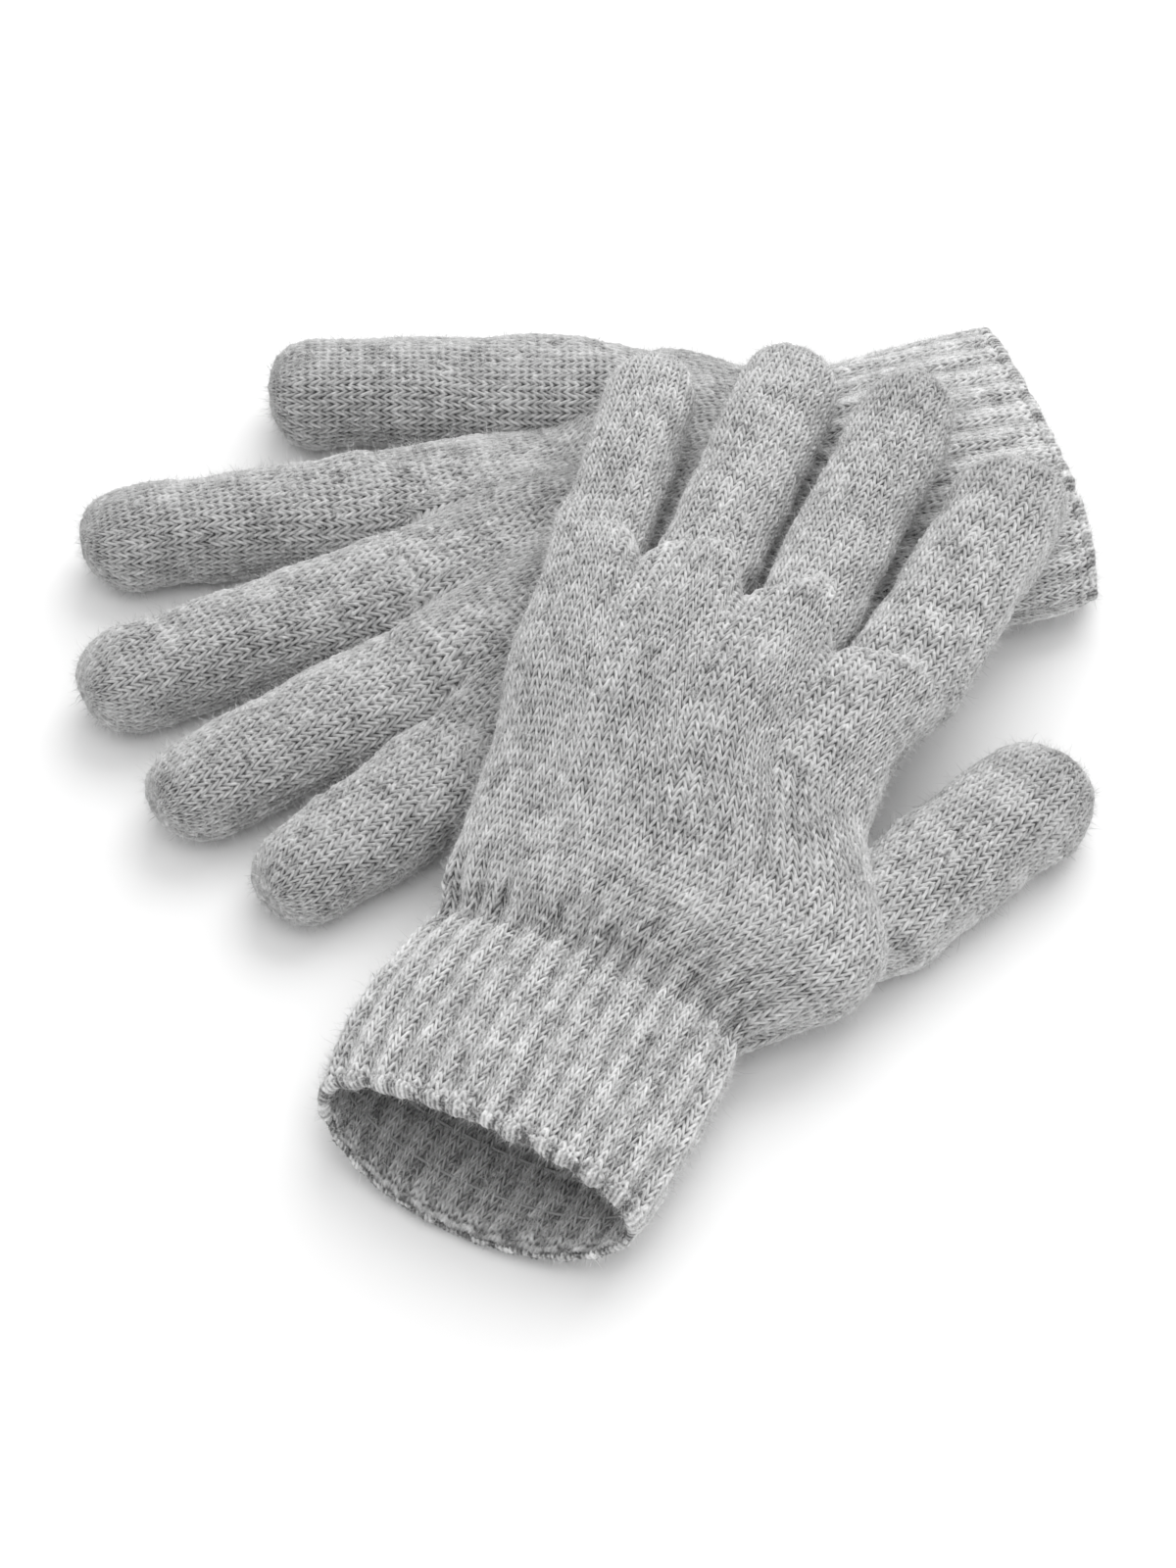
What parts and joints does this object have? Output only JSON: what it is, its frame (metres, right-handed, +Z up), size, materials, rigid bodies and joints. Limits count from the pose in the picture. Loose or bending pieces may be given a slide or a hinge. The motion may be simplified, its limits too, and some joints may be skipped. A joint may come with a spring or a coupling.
{
  "type": "pair of knitted gloves",
  "caption": "Pair of knitted gloves with ribbed cuffs and five digits each, lying crossed; every digit folds at its root and middle, and the upper glove lifts off.",
  "frame": {"origin": "middle of the underside of the pair as it lies, on the table", "axes": "+Z up from the table, +Y away from a person who looks at the pair, +X to that person's right"},
  "size_m": [0.2395, 0.284, 0.0458],
  "materials": {
    "plain_knit": "light heather grey yarn in plain knit, brushed",
    "rib_knit": "light heather grey yarn in two-by-one rib, brushed",
    "touch_yarn": "slightly darker grey yarn with fine conductive fibre, plain knit",
    "elastic_thread": "covered elastic thread"
  },
  "bodies": {
    "lower_glove": {"lower_palm": "plain_knit", "lower_cuff": "rib_knit", "lower_cuff_welt": "rib_knit", "lower_cuff_elastic": "elastic_thread"},
    "upper_glove": {"upper_palm": "plain_knit"},
    "upper_cuff_part": {"upper_cuff": "rib_knit", "upper_cuff_welt": "rib_knit", "upper_cuff_elastic": "elastic_thread"},
    "lower_thumb_base": {"lower_thumb_base": "plain_knit"},
    "lower_thumb_end": {"lower_thumb_end": "plain_knit", "lower_thumb_touch_tip": "touch_yarn"},
    "lower_index_base": {"lower_index_base": "plain_knit"},
    "lower_index_end": {"lower_index_end": "plain_knit", "lower_index_touch_tip": "touch_yarn"},
    "lower_middle_base": {"lower_middle_base": "plain_knit"},
    "lower_middle_end": {"lower_middle_end": "plain_knit", "lower_middle_touch_tip": "touch_yarn"},
    "lower_ring_base": {"lower_ring_base": "plain_knit"},
    "lower_ring_end": {"lower_ring_end": "plain_knit"},
    "lower_pinky_base": {"lower_pinky_base": "plain_knit"},
    "lower_pinky_end": {"lower_pinky_end": "plain_knit"},
    "upper_thumb_base": {"upper_thumb_base": "plain_knit"},
    "upper_thumb_end": {"upper_thumb_end": "plain_knit", "upper_thumb_touch_tip": "touch_yarn"},
    "upper_index_base": {"upper_index_base": "plain_knit"},
    "upper_index_end": {"upper_index_end": "plain_knit", "upper_index_touch_tip": "touch_yarn"},
    "upper_middle_base": {"upper_middle_base": "plain_knit"},
    "upper_middle_end": {"upper_middle_end": "plain_knit", "upper_middle_touch_tip": "touch_yarn"},
    "upper_ring_base": {"upper_ring_base": "plain_knit"},
    "upper_ring_end": {"upper_ring_end": "plain_knit"},
    "upper_pinky_base": {"upper_pinky_base": "plain_knit"},
    "upper_pinky_end": {"upper_pinky_end": "plain_knit"}
  },
  "joints": [
    {"name": "upper_glove_lift", "type": "slide", "parent": "lower_glove", "child": "upper_glove", "axis": [0, 0, 1], "range_m": [0, 0.06]},
    {"name": "upper_wrist_fold", "type": "hinge", "parent": "upper_glove", "child": "upper_cuff_part", "pos_m": [-0.00205, -0.07085, 0.026], "axis": [-0.8796, 0.4756, 0], "range_deg": [0, 60]},
    {"name": "lower_thumb_root_fold", "type": "hinge", "parent": "lower_glove", "child": "lower_thumb_base", "pos_m": [-0.01201, 0.1205, 0.023], "axis": [-0.0297, 0.9996, 0], "range_deg": [0, 60]},
    {"name": "lower_thumb_middle_fold", "type": "hinge", "parent": "lower_thumb_base", "child": "lower_thumb_end", "pos_m": [-0.045, 0.11952, 0.023], "axis": [-0.0297, 0.9996, 0], "range_deg": [0, 75]},
    {"name": "lower_index_root_fold", "type": "hinge", "parent": "lower_glove", "child": "lower_index_base", "pos_m": [-0.05407, 0.08167, 0.022], "axis": [-0.2198, 0.9755, 0], "range_deg": [0, 60]},
    {"name": "lower_index_middle_fold", "type": "hinge", "parent": "lower_index_base", "child": "lower_index_end", "pos_m": [-0.08675, 0.0743, 0.022], "axis": [-0.2198, 0.9755, 0], "range_deg": [0, 75]},
    {"name": "lower_middle_root_fold", "type": "hinge", "parent": "lower_glove", "child": "lower_middle_base", "pos_m": [-0.04802, 0.05273, 0.022], "axis": [-0.4648, 0.8854, 0], "range_deg": [0, 60]},
    {"name": "lower_middle_middle_fold", "type": "hinge", "parent": "lower_middle_base", "child": "lower_middle_end", "pos_m": [-0.08166, 0.03506, 0.022], "axis": [-0.4648, 0.8854, 0], "range_deg": [0, 75]},
    {"name": "lower_ring_root_fold", "type": "hinge", "parent": "lower_glove", "child": "lower_ring_base", "pos_m": [-0.04671, 0.02037, 0.022], "axis": [-0.6115, 0.7912, 0], "range_deg": [0, 60]},
    {"name": "lower_ring_middle_fold", "type": "hinge", "parent": "lower_ring_base", "child": "lower_ring_end", "pos_m": [-0.07164, 0.00111, 0.022], "axis": [-0.6115, 0.7912, 0], "range_deg": [0, 75]},
    {"name": "lower_pinky_root_fold", "type": "hinge", "parent": "lower_glove", "child": "lower_pinky_base", "pos_m": [-0.0379, -0.00728, 0.02], "axis": [-0.7396, 0.673, 0], "range_deg": [0, 60]},
    {"name": "lower_pinky_middle_fold", "type": "hinge", "parent": "lower_pinky_base", "child": "lower_pinky_end", "pos_m": [-0.05439, -0.0254, 0.02], "axis": [-0.7396, 0.673, 0], "range_deg": [0, 75]},
    {"name": "upper_thumb_root_fold", "type": "hinge", "parent": "upper_glove", "child": "upper_thumb_base", "pos_m": [0.06751, -0.0448, 0.023], "axis": [0.6896, -0.7242, 0], "range_deg": [0, 60]},
    {"name": "upper_thumb_middle_fold", "type": "hinge", "parent": "upper_thumb_base", "child": "upper_thumb_end", "pos_m": [0.08688, -0.02635, 0.023], "axis": [0.6896, -0.7242, 0], "range_deg": [0, 75]},
    {"name": "upper_index_root_fold", "type": "hinge", "parent": "upper_glove", "child": "upper_index_base", "pos_m": [0.07078, 0.00534, 0.03746], "axis": [0.8918, -0.4524, 0], "range_deg": [0, 60]},
    {"name": "upper_index_middle_fold", "type": "hinge", "parent": "upper_index_base", "child": "upper_index_end", "pos_m": [0.08659, 0.03649, 0.0396], "axis": [0.8918, -0.4524, 0], "range_deg": [0, 75]},
    {"name": "upper_middle_root_fold", "type": "hinge", "parent": "upper_glove", "child": "upper_middle_base", "pos_m": [0.05035, 0.0243, 0.0425], "axis": [0.9278, -0.373, 0], "range_deg": [0, 60]},
    {"name": "upper_middle_middle_fold", "type": "hinge", "parent": "upper_middle_base", "child": "upper_middle_end", "pos_m": [0.06452, 0.05955, 0.04316], "axis": [0.9278, -0.373, 0], "range_deg": [0, 75]},
    {"name": "upper_ring_root_fold", "type": "hinge", "parent": "upper_glove", "child": "upper_ring_base", "pos_m": [0.02648, 0.03764, 0.0435], "axis": [0.9461, -0.3239, 0], "range_deg": [0, 60]},
    {"name": "upper_ring_middle_fold", "type": "hinge", "parent": "upper_ring_base", "child": "upper_ring_end", "pos_m": [0.03798, 0.07123, 0.0435], "axis": [0.9461, -0.3239, 0], "range_deg": [0, 75]},
    {"name": "upper_pinky_root_fold", "type": "hinge", "parent": "upper_glove", "child": "upper_pinky_base", "pos_m": [0.00258, 0.04601, 0.042], "axis": [0.9728, -0.2317, 0], "range_deg": [0, 60]},
    {"name": "upper_pinky_middle_fold", "type": "hinge", "parent": "upper_pinky_base", "child": "upper_pinky_end", "pos_m": [0.00954, 0.0752, 0.042], "axis": [0.9728, -0.2317, 0], "range_deg": [0, 75]}
  ]
}
